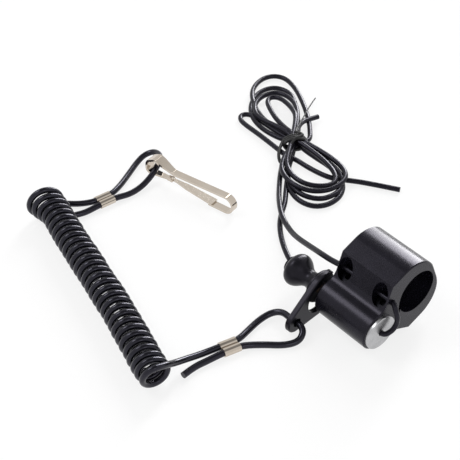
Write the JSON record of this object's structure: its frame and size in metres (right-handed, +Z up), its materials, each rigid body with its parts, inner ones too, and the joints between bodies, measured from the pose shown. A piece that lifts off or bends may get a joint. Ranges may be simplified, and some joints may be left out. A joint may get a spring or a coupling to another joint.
{
  "type": "engine kill switch with lanyard",
  "caption": "Clamp-on handlebar kill switch: barrel with pull knob and spring plunger, slotted tether clip on a coiled cord with snap hook, and a tied bundle of lead wires.",
  "frame": {"origin": "on the surface the switch lies on, below the centre of the clamp and barrel unit without its cords", "axes": "+X along the barrel and the handlebar bore towards the end cap, +Y level from the barrel towards the clamp, +Z up"},
  "size_m": [0.2013, 0.2148, 0.0401],
  "materials": {
    "black_aluminium": "satin black anodised",
    "cap_aluminium": "satin turned",
    "knob_plastic": "semi-gloss black",
    "screw_steel": "black oxide",
    "nickel": "nickel plated",
    "brass": "turned",
    "spring_steel": "drawn wire",
    "insulator": "moulded",
    "cord": "glossy black cord",
    "wire": "satin black insulation",
    "tie": "matt"
  },
  "bodies": {
    "switch": {"housing": "black_aluminium", "end_cap": "cap_aluminium", "contact_base": "insulator", "fixed_contact": "brass", "return_spring": "spring_steel", "earth_tag": "nickel", "guide_bush": "cap_aluminium", "clamp_screw_near": "screw_steel", "clamp_screw_far": "screw_steel", "wire_near_loop": "wire", "wire_channel_lead": "wire", "wire_tag_lead": "wire", "wire_hank": "wire", "wire_end_long": "wire", "wire_end_short": "wire", "twist_tie": "tie"},
    "knob": {"knob": "knob_plastic", "knob_collar": "knob_plastic", "plunger": "insulator", "moving_contact": "brass"},
    "lanyard": {"tether_clip": "knob_plastic", "sleeve_clip_end": "nickel", "sleeve_hook_end": "nickel", "lanyard_loop_clip": "cord", "lanyard_lead_clip": "cord", "lanyard_tail_clip": "cord", "lanyard_coil": "cord", "lanyard_lead_hook": "cord", "lanyard_tail_hook": "cord", "lanyard_loop_hook": "cord", "hook_body": "nickel", "gate_pin": "nickel"},
    "gate": {"hook_gate": "nickel"}
  },
  "joints": [
    {"name": "knob_pull", "type": "slide", "parent": "switch", "child": "knob", "axis": [-1, 0, 0], "range_m": [0, 0.0015], "stiffness_N_per_m": 1200, "springref_m": -0.006, "deforming": ["return_spring"]},
    {"name": "lanyard_pull", "type": "slide", "parent": "switch", "child": "lanyard", "axis": [0.0698, -0.9976, 0], "range_m": [0, 0.02]},
    {"name": "hook_gate", "type": "hinge", "parent": "lanyard", "child": "gate", "pos_m": [-0.12616, -0.01079, 0.0039], "axis": [0.2181, -0.9759, 0], "range_deg": [0, 12], "stiffness_Nm_per_rad": 0.02, "springref_deg": -17.19}
  ]
}
